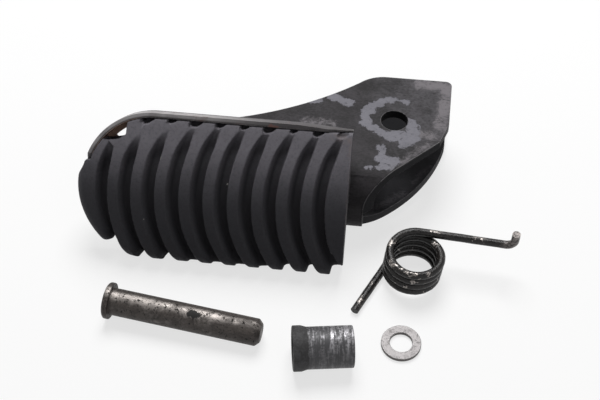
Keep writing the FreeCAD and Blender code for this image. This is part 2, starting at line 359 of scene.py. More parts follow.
# Arm paint: granular dark grey, worn through to grey metal in patches.
armLook = {
    "edgeWidth": 0.4,  # mm
    "shade": (0.016, 0.0150, 0.0158),
    "paint": (0.046, 0.0420, 0.0465),
    # inside and dusty: painted shade inside the channel and on its cut edges, and its lighter mottle
    "inside": (0.016, 0.0156, 0.019),
    "dusty": (0.030, 0.029, 0.033),
    "paintedShade": (0.006, 0.006, 0.007),
    "haze": (0.092, 0.088, 0.096),
    "bare": (0.146, 0.143, 0.163),
    "rubbed": (0.112, 0.109, 0.124),
    "warm": (0.172, 0.160, 0.171),
    "edge": (0.20, 0.194, 0.20),
    "topFace": (28.8, 29.5),  # heights, mm
    "lowFace": ((5.0, 4.2), (3.0, 3.8)),
    "paintedShadeBelow": (6.0, 5.0),
    "insideBelow": (26.1, 25.6),
    "cutBelow": (29.6, 29.2),
    "insideBehind": (-33.4, -32.7),  # places from front to back, mm
    "paintedShadeBehind": (2.0, 12.0),
    "cutPoint": (-9.0, -36.4),  # on the slanting front edge, and the way that edge faces
    "cutNormal": (0.7058, -0.7084),
    "cutBand": (-0.5, -0.2),
    "boreWall": (5.6, 5.25),  # distances from the bore's axis, mm
    "hazeFrom": (-14.0, 16.0),  # along the upper ear, towards the pivot's end, mm
    "scuffSoft": 1.6,  # mm
    "strokes": (  # wear on the upper ear: start, end and half width, mm
        (-10.6, -2.4, -11.0, 1.8, 2.3), (-11.0, 1.8, -9.2, 6.6, 2.3), (-9.2, 6.6, -5.6, 9.9, 2.0),
        (-5.6, 9.9, -0.8, 11.6, 1.6), (-0.8, 11.6, 4.2, 10.4, 1.0), (-8.6, -4.6, -5.8, -5.8, 1.8),
        (-4.0, -7.4, 1.0, -9.2, 2.3), (0.0, -7.4, 5.4, -7.6, 2.2), (7.0, -0.8, 7.6, -5.6, 2.2),
        (7.2, -6.0, 4.8, -11.4, 2.7), (8.4, -9.4, 3.6, -12.0, 1.9), (-4.2, -14.6, -3.8, -20.4, 1.7),
        (-3.8, -20.4, 0.6, -21.6, 2.5), (-3.0, -23.4, -0.8, -24.4, 1.6), (-8.2, -25.4, -3.2, -24.8, 0.9),
        (-25.0, 10.4, -18.6, 7.6, 2.2), (-35.0, 6.4, -29.6, 7.4, 1.2),
    ),
    "scuffs": (  # softer, lighter places on the upper ear
        (9.0, 21.6, 20.0, 20.4, 2.6), (19.8, 19.0, 19.8, 6.0, 2.8), (18.8, 8.0, 17.6, -2.4, 2.2),
        (11.0, -6.4, 15.4, -6.6, 1.6), (3.6, -21.4, 13.6, -11.2, 0.8), (-34.0, -4.6, -24.0, -4.2, 1.4),
    ),
    # Lighter streaks on the lower ear: scuffs, and painted sheen along its front edge.
    "lowScuffsAndSheen": (  # on the lower ear, along its front edge
        (-9.0, -25.2, -1.0, -21.0, 0.8), (-1.0, -21.0, 6.0, -14.6, 1.4), (10.0, -8.0, 16.0, 1.0, 0.8),
    ),
}


def armMaterial():
    look = armLook
    made, tree, shader = newMaterial("wornArmPaint")
    vector = coords(tree)
    x, y, z = splitVector(tree, vector)
    grain = noise(tree, stretched(tree, vector, (0.6, 1.0, 1.0)), 1300.0, 4.0, 0.7)
    cloud = noise(tree, vector, 120.0, 6.0, 0.62, 0.5)
    ragged = noise(tree, vector, 300.0, 8.0, 0.72, 0.8)
    flecks = ramp(noise(tree, vector, 700.0, 6.0, 0.75, 0.6), 0.60, 0.64)
    even = cloud * 0.5 + grain * 0.5
    warp = (ragged - 0.5) * 0.0085
    upper = span(z, look["topFace"])
    lower = span(z, look["lowFace"][0]) * span(z, look["lowFace"][1])
    bare = strokeShare(x, y, warp, look["strokes"]) * upper * (1.0 - flecks * 0.55)
    scuff = strokeShare(x, y, warp * 1.3, look["scuffs"], look["scuffSoft"]) * upper
    scuff = scuff * ramp(even, 0.30, 0.55)
    lowScuffAndSheen = strokeShare(x, y, warp * 0.8, look["lowScuffsAndSheen"], look["scuffSoft"]) * lower
    edge = attribute(tree, "edge") * ramp(ragged, 0.30, 0.54)

    # Inside the channel and on its cut edges the paint is darkened: painted shade.
    # Painted shade lies at the back under the upper ear, in the bore and on the cut edges.
    cutX, cutY = look["cutPoint"]
    normalX, normalY = look["cutNormal"]
    fromCut = (x - cutX * mm) * normalX + (y - cutY * mm) * normalY
    cut = span(fromCut, look["cutBand"]) * span(z, look["cutBelow"])
    shadedWithin = greater(span(z, look["insideBelow"]) * span(y, look["insideBehind"]), cut)
    paintedShade = span(y + (cloud - 0.5) * 0.02, look["paintedShadeBehind"]) * span(z, look["paintedShadeBelow"]) * 0.8
    paintedShade = greater(span(root(x * x + y * y), look["boreWall"]), paintedShade)
    paintedShade = greater(paintedShade, cut * 0.6)
    # Painted shade inside the channel, mottled lighter at random.
    inside = mixColour(ramp(cloud * 0.6 + grain * 0.4, 0.38, 0.66), look["inside"], look["dusty"])
    haze = span(x + y * 0.4 + (cloud - 0.5) * 0.06, look["hazeFrom"]) * upper
    haze = haze * ramp(grain * 0.5 + ragged * 0.5, 0.34, 0.62)
    paint = mixColour(ramp(even, 0.36, 0.66), look["shade"], look["paint"])
    paint = mixColour(haze * 0.75, paint, look["haze"])
    paint = mixColour(shadedWithin * 0.9, paint, inside)
    paint = mixColour(paintedShade, paint, look["paintedShade"])
    colour = mixColour(scuff, paint, look["warm"])
    # Scuffs and painted sheen on the lower ear.
    colour = mixColour(lowScuffAndSheen * ramp(grain, 0.3, 0.6), colour, look["haze"])
    metalTone = mixColour(ramp(even, 0.36, 0.62), look["rubbed"], look["bare"])
    colour = mixColour(bare, colour, metalTone)
    colour = mixColour(edge * 0.7, colour, look["edge"])
    metal = greater(bare, greater(scuff * 0.6, edge)) * 0.2
    rough = 0.5 + grain * 0.22 - bare * 0.1 + paintedShade * 0.3
    finishShader(tree, shader, colour, rough, metal)
    shader.inputs["Specular IOR Level"].default_value = 0.15
    relief(shader, grain * 0.5 + ragged * 0.35 - bare * 0.35, 0.55, 0.00022)
    return made


# Pin: shiny pitted steel with brown stains, spread as painted shade towards its near and far sides.
pinLook = {
    "edgeWidth": 0.3,  # mm
    "place": (-96.5, -80.5, 0.0),
    "turn": -6.6,
    "steel": (0.33, 0.30, 0.28),
    "stain": (0.046, 0.039, 0.036),
    "film": (0.102, 0.088, 0.080),
    "pit": (0.012, 0.011, 0.010),
    "gouge": ((30.4, -1.2, 33.4, -1.4, 1.3),),  # along and across the pin, mm
    "gougeAbove": (7.0, 9.0),
    "dull": (41.0, 51.0),  # along the pin, towards the end that is duller
    "shadedNearSide": (-1.2, -3.4),
    "shadedFarSide": (0.2, 2.6),
}


def pinMaterial():
    look = pinLook
    made, tree, shader = newMaterial("pittedPinSteel")
    vector = coords(tree, Vector(look["place"]) * mm, (0, 0, math.radians(look["turn"])))
    along, side, up = splitVector(tree, vector)
    cloud = noise(tree, vector, 190.0, 7.0, 0.72, 0.6)
    pits = noise(tree, vector, 800.0, 5.0, 0.7)
    streak = noise(tree, stretched(tree, vector, (170.0, 520.0, 520.0)), 1.0, 5.0, 0.65)
    ragged = (noise(tree, vector, 420.0, 6.0, 0.7, 0.8) - 0.5) * 0.005
    gouge = strokeShare(along, side, ragged, look["gouge"]) * span(up, look["gougeAbove"])
    dull = span(along, look["dull"]) * 0.10
    # Painted shade: the stain spreads towards the near and the far side of the pin.
    low = span(side, look["shadedNearSide"]) * 0.19 + span(side, look["shadedFarSide"]) * 0.22
    stainAndShade = ramp(cloud * 0.6 + streak * 0.4 + dull + low, 0.42, 0.70)
    film = mixColour(ramp(pits * 0.5 + streak * 0.5, 0.42, 0.60), look["stain"], look["film"])
    colour = mixColour(stainAndShade, look["steel"], film)
    pitted = greater(ramp(pits, 0.555, 0.64), gouge)
    colour = mixColour(pitted, colour, look["pit"])
    rough = 0.38 + stainAndShade * 0.12 + pitted * 0.25
    finishShader(tree, shader, colour, rough, 0.45 - stainAndShade * 0.25 - pitted * 0.2)
    shader.inputs["Specular IOR Level"].default_value = 0.35
    relief(shader, 0.0 - pitted * 0.7 + pits * 0.3, 0.7, 0.00035)
    return made


# Collar: dark rough lip at one end, silvery rings worn by the spring along the rest, fewer on the near
# side as painted shade.
collarLook = {
    "edgeWidth": 0.35,  # mm
    "place": (-28.9, -94.1, 8.1),
    "turn": (0.0, 1.606, 10.0),
    "lipEnds": (5.0, 6.1),  # along the collar, mm
    "shadedNearSide": (-6.5, -2.5),
    "dark": (0.022, 0.0215, 0.022),
    "dusty": (0.062, 0.061, 0.064),
    "steel": (0.060, 0.059, 0.063),
    "ring": (0.43, 0.42, 0.44),
}


def collarMaterial():
    look = collarLook
    made, tree, shader = newMaterial("ringWornCollar")
    turn = [math.radians(angle) for angle in look["turn"]]
    vector = coords(tree, Vector(look["place"]) * mm, turn)
    along, across = splitVector(tree, vector)[:2]
    rings = noise(tree, stretched(tree, vector, (1900.0, 150.0, 150.0)), 1.0, 3.0, 0.6)
    broad = noise(tree, stretched(tree, vector, (620.0, 90.0, 90.0)), 1.0, 3.0, 0.6)
    specks = noise(tree, vector, 1200.0, 5.0, 0.7)
    blot = noise(tree, vector, 260.0, 4.0, 0.6, 0.4)
    worn = span(along + (specks - 0.5) * 0.0022, look["lipEnds"])
    bright = rings * 0.5 + broad * 0.5 + (specks - 0.5) * 0.4 + (blot - 0.5) * 0.35
    # Painted shade: fewer bright rings on the near side.
    bright = ramp(bright, 0.44, 0.66) * worn * span(across, look["shadedNearSide"], 0.35, 1.0)
    lip = mixColour(ramp(blot * 0.6 + specks * 0.4, 0.42, 0.62), look["dark"], look["dusty"])
    colour = mixColour(worn, lip, look["steel"])
    colour = mixColour(bright, colour, look["ring"])
    rough = 0.62 - worn * 0.16 - bright * 0.14 + specks * 0.1
    finishShader(tree, shader, colour, rough, bright * 0.5 + 0.1)
    relief(shader, rings * worn * 0.6 + specks * (1.0 - worn * 0.7), 0.7, 0.00035)
    return made


# Washer: plated steel, scuffed, with painted shade on its side wall.
washerLook = {
    "edgeWidth": 0.25,  # mm
    "plate": (0.30, 0.284, 0.284),
    "dull": (0.175, 0.164, 0.164),
    # painted shade on the side wall
    "side": (0.105, 0.095, 0.092),
    "sideShadeBelow": (1.45, 1.2),  # heights, mm
}


def washerMaterial():
    look = washerLook
    made, tree, shader = newMaterial("platedWasher")
    vector = coords(tree)
    height = splitVector(tree, vector)[2]
    scuff = noise(tree, vector, 520.0, 6.0, 0.7, 1.2)
    grain = noise(tree, vector, 2600.0, 3.0, 0.6)
    dull = ramp(scuff * 0.7 + grain * 0.3, 0.48, 0.64)
    colour = mixColour(dull, look["plate"], look["dull"])
    # Painted shade: darker on the side wall.
    colour = mixColour(span(height, look["sideShadeBelow"]) * 0.85, colour, look["side"])
    finishShader(tree, shader, colour, 0.46 + dull * 0.18, 0.3 - dull * 0.1)
    relief(shader, scuff * 0.5 + grain * 0.5, 0.35, 0.0001)
    return made


# Spring: black oxide, knobbly, with painted glints in spots, and bare at the hook.
springLook = {
    "oxide": (0.008, 0.0074, 0.0073),
    "brown": (0.022, 0.019, 0.0178),
    "shine": (0.42, 0.385, 0.36),
    "hook": (0.25, 0.225, 0.215),
    "hookFrom": (42.0, 46.0),
    "upperFrom": (12.4, 13.2),  # heights, mm
    "lowerBelow": (4.0, 3.4),
    "upperGlints": (  # painted glints on the upper leg and the top turn, mm
        (18.6, -42.3, 20.4, -42.4, 0.55), (33.8, -43.3, 36.2, -43.6, 0.5), (2.0, -49.8, 2.8, -47.8, 0.35),
        (18.2, -46.0, 19.2, -47.2, 0.5), (9.0, -61.2, 12.0, -61.5, 0.2), (3.0, -56.8, 4.6, -58.4, 0.3),
    ),
    "lowerGlints": ((-3.0, -59.2, -3.4, -60.0, 0.4), (-6.4, -65.8, -7.2, -67.2, 0.3)),
}


def springMaterial():
    look = springLook
    made, tree, shader = newMaterial("oxidisedSpringWire")
    vector = coords(tree)
    x, y, z = splitVector(tree, vector)
    crust = noise(tree, vector, 620.0, 6.0, 0.68, 0.5)
    cloud = noise(tree, vector, 150.0, 4.0, 0.6)
    grit = noise(tree, vector, 1700.0, 3.0, 0.6)
    glintSpeckle = noise(tree, vector, 340.0, 3.0, 0.55, 0.3) * 0.75 + grit * 0.25
    ragged = (crust - 0.5) * 0.009
    # Painted glints: light spots on the upper leg, the top turn and the lower leg, and scattered specks.
    paintedGlint = strokeShare(x, y, ragged, look["upperGlints"]) * span(z, look["upperFrom"])
    paintedGlint = greater(paintedGlint, strokeShare(x, y, ragged, look["lowerGlints"]) * span(z, look["lowerBelow"]))
    paintedGlint = greater(paintedGlint, ramp(glintSpeckle, 0.615, 0.65))
    hook = span(x, look["hookFrom"]) * ramp(crust, 0.36, 0.56)
    colour = mixColour(ramp(cloud * 0.5 + crust * 0.5, 0.42, 0.62), look["oxide"], look["brown"])
    colour = mixColour(hook * 0.85, colour, look["hook"])
    colour = mixColour(paintedGlint, colour, look["shine"])
    rough = 0.16 + crust * 0.26 - paintedGlint * 0.04
    finishShader(tree, shader, colour, rough, greater(paintedGlint, hook) * 0.4 + 0.05)
    shader.inputs["Specular IOR Level"].default_value = 0.34
    relief(shader, crust * 0.8 + grit * 0.2, 0.6, 0.00045)
    return made


# Pieces
def addPiece(name, mesh, material, node):
    piece = bpy.data.objects.new(name, mesh)
    bpy.context.collection.objects.link(piece)
    mesh.materials.clear()
    mesh.materials.append(material)
    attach(piece, "root")
    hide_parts(node)
    print(name, len(mesh.polygons), "faces")


def plainMesh(source):
    bpy.context.view_layer.update()
    evaluated = source.evaluated_get(bpy.context.evaluated_depsgraph_get())
    mesh = bpy.data.meshes.new_from_object(evaluated)
    bpy.data.objects.remove(source)
    return mesh


# Rounding: lengths in mm, angles in degrees.
rounding = {"merge": 0.001, "flat": 0.6, "sharp": 32.0, "steps": 2, "sliver": 0.002}


def rounded(node, width):
    # A merged copy of a node's mesh with its hard edges rounded and marked by an attribute.
    sharp = math.radians(rounding["sharp"])
    flat = math.radians(rounding["flat"])
    made = bmesh.new()
    made.from_mesh(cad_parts[node].data)
    bmesh.ops.remove_doubles(made, verts=made.verts, dist=rounding["merge"] * mm)
    bmesh.ops.dissolve_limit(made, angle_limit=flat, verts=made.verts, edges=made.edges)
    hard = [edge for edge in made.edges if edge.is_manifold and edge.calc_face_angle() > sharp]
    mark = made.faces.layers.float.new("edge")
    result = bmesh.ops.bevel(
        made, geom=hard, offset=width * mm, offset_type="OFFSET", segments=rounding["steps"],
        profile=0.5, affect="EDGES", clamp_overlap=True, material=-1,
    )
    for face in result["faces"]:
        face[mark] = 1.0
    bmesh.ops.dissolve_degenerate(made, dist=rounding["sliver"] * mm, edges=made.edges)
    for face in made.faces:
        face.smooth = True
    for edge in made.edges:
        edge.smooth = edge.is_manifold and edge.calc_face_angle() < sharp
    mesh = bpy.data.meshes.new(node + "Mesh")
    made.to_mesh(mesh)
    made.free()
    source = bpy.data.objects.new(node + "Source", mesh)
    even = source.modifiers.new("evenShading", "WEIGHTED_NORMAL")  # keeps the flat faces flat
    even.keep_sharp = True
    bpy.context.collection.objects.link(source)
    return plainMesh(source)


def runTree(source, tree, values):
    # Sets the tree's inputs by identifier and returns the result as a plain mesh.
    bpy.context.collection.objects.link(source)
    modifier = source.modifiers.new("shape", "NODES")
    modifier.node_group = tree
    for item in tree.interface.items_tree:
        if item.item_type == "SOCKET" and item.in_out == "INPUT" and item.name in values:
            modifier[item.identifier] = values[item.name]
    return plainMesh(source)


def newTree(name, values):
    tree = bpy.data.node_groups.new(name, "GeometryNodeTree")
    tree.interface.new_socket("Geometry", in_out="INPUT", socket_type="NodeSocketGeometry")
    for key in values:
        tree.interface.new_socket(key, in_out="INPUT", socket_type="NodeSocketFloat")
    tree.interface.new_socket("Geometry", in_out="OUTPUT", socket_type="NodeSocketGeometry")
    start = tree.nodes.new("NodeGroupInput")
    end = tree.nodes.new("NodeGroupOutput")
    given = {key: field(tree, start.outputs[key]) for key in values}
    return tree, start.outputs["Geometry"], given, end.inputs["Geometry"]


def closeTree(tree, shape, material, end):
    solid = tree.nodes.new("GeometryNodeRealizeInstances")
    paint = tree.nodes.new("GeometryNodeSetMaterial")
    paint.inputs["Material"].default_value = material
    tree.links.new(shape, solid.inputs[0])
    tree.links.new(solid.outputs[0], paint.inputs["Geometry"])
    tree.links.new(paint.outputs[0], end)


# Pad: one moulding, a crowned body with curved ribs. Lengths in metres, in the tread's own frame.
padSize = {
    "End": -14.7 * mm,
    "Length": 101.95 * mm,
    "Half Width": 26.5 * mm,
    "Edge Height": 8.0 * mm,
    "Crown Height": 15.0 * mm,
    "Front Brink": 3.4 * mm,
    "Rim Brink": 0.5 * mm,
    "Rim Lift": 0.35 * mm,
    "Corner": 1.6 * mm,
    "First Groove": -105.7 * mm,
    "Pitch": 9.0 * mm,
    "Last Groove": 9.0,
    "Groove Width": 4.0 * mm,
    "Groove Depth": 4.5 * mm,
    "Groove Bow": 55.0 * mm,
    "Notch": 0.9 * mm,
    "Nose": 1.1 * mm,
    "First Bite": 3.8 * mm,
    "End Step": 1.6 * mm,
    "Rim Dip": 3.0 * mm,
    "Tray Sheet": 1.85 * mm,
    "Pocket Depth": 3.95 * mm,
    "Stud Radius": 4.0 * mm,
    "Stud Height": 2.2 * mm,
    "Shank Radius": 2.45 * mm,
}
padForm = {  # angles round the tip in degrees, places in mm
    "grid": (330, 96, 4),  # points along, across and up
    "upperLevels": ((0.1, 0.3), (0.4, 0.6), (0.7, 0.9)),  # each picks the levels above it
    "tipShare": (0.84, 1.0),
    "trayShift": 2.5,  # the tray's tip and its rim
    "trayMiddle": 2.0,
    "rimInside": 24.45,
    "rimOutside": 26.45,
    "footIn": (8.0, 13.5),  # where the plan is drawn in behind the rim, and lies over its low end
    "lipOut": (2.0, 19.0),
    "lipIn": (21.0, 24.0),
    "gapFrom": (46.5, 48.5),
    "gapTo": (72.5, 69.5),
    "brinkChange": (3.0, 13.0),
    "rimLift": (20.0, 26.0),
    "sweep": 0.9,  # the grooves' front ends bend towards the pivot
    "sweepAcross": (-12.0, -26.5),
    "sweepAlong": (-90.0, -70.0),
    "closeAt": (-102.2, 18.6, 0.2165),  # where the grooves end at the rim: a place on the line, its slope
    "closeStep": 10.0,
    "closeStepAlong": (-72.0, -56.0),
    "closeMost": 26.2,
    "firstShort": 2.4,
    "firstAlong": (-104.0, -110.0),
    "closeFade": 10.0,
    "closeNarrow": 0.6,
    "roundWall": (-1.45, -0.25),  # shares of half a groove's width
    "steepWall": (1.16, 0.86),
    "tipDeep": (-72.0, -84.0),  # where the grooves run out deep at the front
    "pivotDeep": (-47.0, -29.0),
    "frontFlat": (-21.0, -26.0),
    "frontShallow": 0.75,
    "dipReach": (1.9, 1.7),  # dips beside the rim, uneven from one to the next
    "dipMiddle": 26.3,
    "dipEdge": (1.05, 0.7),
    "dipFrom": (-104.0, -101.0),
    "dipTurn": 2.4,
    "dipUneven": 0.25,
    "footMargin": 0.3,
    "footEdge": (0.0, 0.15),
    "rimStart": 33.0,  # where the rim's end starts to rise, and how steeply
    "rimSlope": 1.34,
    "rimClear": 0.1,
    "lipShares": (0.3, 0.85),
    "lipStep": 0.03,
    "noseSquare": (-1.4, -2.3),
    "noseRound": (0.2, 3.6),
    "noseFlat": 0.7,
    "noseAngle": (-15.0, -60.0),
    "biteFrom": (-5.0, -1.4),
    "biteTo": (2.2, 0.6),
    "lastAlong": (-19.3, -18.6),
    "endAlong": (-17.2, -15.9),
    "endMore": 1.6,
    "studs": ((-96.0, 24.0), (-60.0, 11.0), (-28.0, 11.0)),
    "studSides": 32,
    "studTaper": 0.78,
    "shankMore": 0.4,
    "sharp": 48.0,
}


def padPlan(size, tip, toTip, angle, up):
    # Round tip, drawn in behind the tray's rim and at the see-through gap.
    form = padForm
    sine = angle.op("SINE", angle)
    cosine = angle.op("COSINE", angle)
    half = size["Half Width"]
    shift = form["trayShift"] * mm
    middle = form["trayMiddle"] * mm
    lean = sine * middle - cosine * shift
    offset = shift ** 2 + middle ** 2
    inRim = lean + root(lean * lean + (form["rimInside"] * mm) ** 2 - offset)
    onRim = lean + root(lean * lean + (form["rimOutside"] * mm) ** 2 - offset)
    low = between(half, inRim, angleSpan(angle, form["footIn"]))
    high = between(half, onRim, angleSpan(angle, form["lipOut"]))
    high = between(high, inRim, angleSpan(angle, form["lipIn"]))
    reach = between(low, high, ramp(up, *form["upperLevels"][1]))
    gap = angleSpan(angle, form["gapFrom"]) * angleSpan(angle, form["gapTo"])
    reach = reach - gap * size["Pocket Depth"]
    tipShare = ramp(toTip, *form["tipShare"])
    corner = size["Corner"]
    fromFront = greater(corner - (half + half * sine), 0.0)
    startX = size["End"] - (corner - root(greater(corner * corner - fromFront * fromFront, 0.0)))
    x = between(startX, tip - half * cosine, toTip) + (half - reach) * cosine * tipShare
    across = between(half, reach, tipShare) * sine
    return x, across


def padCrown(size, tip, x, across):
    # Height of the crown, with rounded brinks.
    half = size["Half Width"]
    past = lesser(x - tip, 0.0)
    fromAxis = root(past * past + across * across)
    rise = size["Crown Height"] - size["Edge Height"]
    crownRadius = (half * half + rise * rise) / (rise * 2.0)
    crown = size["Crown Height"] - crownRadius + root(crownRadius * crownRadius - fromAxis * fromAxis)
    brink = between(size["Front Brink"], size["Rim Brink"], span(across, padForm["brinkChange"]))
    inside = greater(brink - (half - fromAxis), 0.0)
    crown = crown - (brink - root(greater(brink * brink - inside * inside, 0.0)))
    return crown + span(across, padForm["rimLift"]) * size["Rim Lift"]


def padGrooves(size, x, across):
    # Number of the nearest groove, distance from it, and depth as a share.
    # Each groove has one steep wall and one rounded, and is bowed towards the tip.
    form = padForm
    bow = size["Groove Bow"]
    sweep = span(across, form["sweepAcross"]) * span(x, form["sweepAlong"]) * (form["sweep"] * mm)
    bent = x - (bow - root(bow * bow - across * across)) - sweep - size["First Groove"]
    count = bent / size["Pitch"]
    turn = lesser(greater(count.op("ROUND", count), 0.0), size["Last Groove"])
    off = bent - turn * size["Pitch"]
    lineX, lineAcross, slope = form["closeAt"]
    closeEnd = lineAcross * mm + (x - lineX * mm) * slope
    closeEnd = closeEnd + span(x, form["closeStepAlong"]) * (form["closeStep"] * mm)
    closeEnd = lesser(closeEnd, form["closeMost"] * mm)
    closeEnd = closeEnd - span(x, form["firstAlong"]) * (form["firstShort"] * mm)
    fade = ramp(across, closeEnd, closeEnd - form["closeFade"] * mm)
    wall = size["Groove Width"] * 0.5 * between(form["closeNarrow"], 1.0, fade)
    walls = [[wall * share for share in form[key]] for key in ("roundWall", "steepWall")]
    groove = ramp(off, *walls[0]) * ramp(off, *walls[1]) * fade
    return turn, off, groove


def padDips(x, across, turn, off):
    # Dips beside the rim, one at each groove.
    form = padForm
    uneven = turn.op("SINE", turn * form["dipTurn"]) * form["dipUneven"] + 1.0
    nearX = off / (form["dipReach"][0] * mm) / uneven
    nearY = (across - form["dipMiddle"] * mm) / (form["dipReach"][1] * mm) / uneven
    return ramp(root(nearX * nearX + nearY * nearY), *form["dipEdge"]) * span(x, form["dipFrom"])


def padHeights(size, tip, x, across, top, up):
    # The foot lies on the tray and hangs over its front edge. The lip clears the rim's low end.
    form = padForm
    half = size["Half Width"]
    trayPast = lesser(x - tip - form["trayShift"] * mm, 0.0)
    trayAcross = across - form["trayMiddle"] * mm
    overTray = half + form["footMargin"] * mm - root(trayPast * trayPast + trayAcross * trayAcross)
    foot = size["Tray Sheet"] * span(overTray, form["footEdge"])
    overRim = (half + across - form["rimStart"] * mm) * form["rimSlope"] + form["rimClear"] * mm
    leastLip, mostLip = form["lipShares"]
    lip = lesser(greater(overRim / (top - foot), leastLip), mostLip)
    second, third, fourth = [ramp(up, *limits) for limits in form["upperLevels"]]
    lift = between(0.0, lip, second) + third * form["lipStep"]
    lift = between(lift, 1.0, fourth)
    return lift, between(foot, top, lift)


def padNoses(size, x, angle, turn, off, ends, lift):
    # Noses where the ribs end at the front, each one cut off square on the side of the pivot.
    form = padForm
    nose = greater(span(off, form["noseSquare"]), span(off, form["noseRound"]))
    nose = greater(nose, (1.0 - ends) * form["noseFlat"])
    out = (nose - 1.0) * size["Notch"] + nose * size["Nose"] * lift
    first = ramp(turn, 0.7, 0.3)  # groove number 0 alone
    first = first * span(off, form["biteFrom"]) * span(off, form["biteTo"])
    out = out - first * size["First Bite"]
    endStep = size["End Step"] * span(x, form["endAlong"], 1.0, form["endMore"])
    return between(out, 0.0 - endStep, span(x, form["lastAlong"])) * angleSpan(angle, form["noseAngle"])


def studShapes(tree, size, points):
    # A head under the tray and a shank through its hole, at each given point.
    form = padForm
    head = tree.nodes.new("GeometryNodeMeshCone")
    head.inputs["Vertices"].default_value = form["studSides"]
    plug(tree, head.inputs["Radius Top"], size["Stud Radius"])
    plug(tree, head.inputs["Radius Bottom"], size["Stud Radius"] * form["studTaper"])
    plug(tree, head.inputs["Depth"], size["Stud Height"])
    shank = tree.nodes.new("GeometryNodeMeshCylinder")
    shank.inputs["Vertices"].default_value = form["studSides"]
    plug(tree, shank.inputs["Radius"], size["Shank Radius"])
    plug(tree, shank.inputs["Depth"], size["Tray Sheet"] + form["shankMore"] * mm)
    raised = tree.nodes.new("GeometryNodeTransform")
    tree.links.new(shank.outputs["Mesh"], raised.inputs["Geometry"])
    middle = size["Stud Height"] + size["Tray Sheet"] * 0.5
    tree.links.new(joinVector(tree, 0.0, 0.0, middle), raised.inputs["Translation"])
    stud = tree.nodes.new("GeometryNodeJoinGeometry")
    tree.links.new(raised.outputs[0], stud.inputs[0])
    tree.links.new(head.outputs["Mesh"], stud.inputs[0])
    copies = tree.nodes.new("GeometryNodeInstanceOnPoints")
    tree.links.new(points, copies.inputs["Points"])
    tree.links.new(stud.outputs[0], copies.inputs["Instance"])
    return copies.outputs[0]


def padTree(material):
    form = padForm
    tree, studPoints, size, end = newTree("padShape", padSize)
    block = tree.nodes.new("GeometryNodeMeshCube")
    for axis, count in zip("XYZ", form["grid"]):
        block.inputs["Vertices " + axis].default_value = count
    place = tree.nodes.new("GeometryNodeInputPosition")
    cubeX, cubeY, cubeZ = splitVector(tree, place.outputs[0])
    toTip = 0.5 - cubeX
    angle = cubeY * math.pi
    up = cubeZ + 0.5
    half = size["Half Width"]
    tip = size["End"] - size["Length"] + half

    x, across = padPlan(size, tip, toTip, angle, up)
    turn, off, groove = padGrooves(size, x, across)
    dips = padDips(x, across, turn, off)
    ends = greater(span(x, form["tipDeep"]), span(x, form["pivotDeep"]))
    sunk = groove * (1.0 - span(across, form["frontFlat"]) * (1.0 - ends) * form["frontShallow"])
    top = padCrown(size, tip, x, across) - sunk * size["Groove Depth"] - dips * size["Rim Dip"]
    lift, height = padHeights(size, tip, x, across, top, up)
    out = padNoses(size, x, angle, turn, off, ends, lift)
    fromFront = half + across * (1.0 + out / half)

    # The groove attribute holds how deep the grooves and dips are; the rubber paints shade and roughness
    # from it.
    kept = tree.nodes.new("GeometryNodeStoreNamedAttribute")
    kept.data_type = "FLOAT"
    kept.domain = "POINT"
    kept.inputs["Name"].default_value = "groove"
    tree.links.new(block.outputs["Mesh"], kept.inputs["Geometry"])
    plug(tree, kept.inputs["Value"], greater(groove, dips))
    moved = tree.nodes.new("GeometryNodeSetPosition")
    tree.links.new(kept.outputs[0], moved.inputs["Geometry"])
    tree.links.new(joinVector(tree, x, fromFront, height), moved.inputs["Position"])
    both = tree.nodes.new("GeometryNodeJoinGeometry")
    tree.links.new(studShapes(tree, size, studPoints), both.inputs[0])
    tree.links.new(moved.outputs[0], both.inputs[0])
    closeTree(tree, both.outputs[0], material, end)
    return tree


def onTread(mesh):
    slope = Matrix.Rotation(math.radians(trayLook["slope"]), 4, "X")
    mesh.transform(Matrix.Translation(Vector(trayLook["foot"]) * mm) @ slope)


def makePad():
    material = rubberMaterial()
    points = bpy.data.meshes.new("studPoints")
    places = [(x * mm, y * mm, -padSize["Stud Height"]) for x, y in padForm["studs"]]
    points.from_pydata(places, [], [])
    source = bpy.data.objects.new("padSource", points)
    mesh = runTree(source, padTree(material), padSize)
    onTread(mesh)
    mesh.shade_smooth()
    mesh.set_sharp_from_angle(angle=math.radians(padForm["sharp"]))
    addPiece("ribbed_pad", mesh, material, "rubber_pad")


# Spring: one wire, close coil, tangent legs, hook at the end of the upper one.
springSize = {  # lengths in mm, angles in degrees
    "coil": 9.65, "pitch": 3.12, "turns": 4.193, "lean": 0.55, "leg": 26.0, "arm": 31.9,
    "hookBend": 3.2, "hookRise": 3.6, "place": (11.5, -51.7), "turn": 155.2,
    "stepsPerTurn": 40, "legSteps": 8, "ringSides": 24,
    "lumpScale": 560.0, "lumpDetail": 2.0, "lumpMiddle": 0.55, "lumpGain": 4.0, "sharp": 50.0,
}
wireSize = {"Wire Radius": 1.55 * mm, "Knobs": 0.075 * mm}


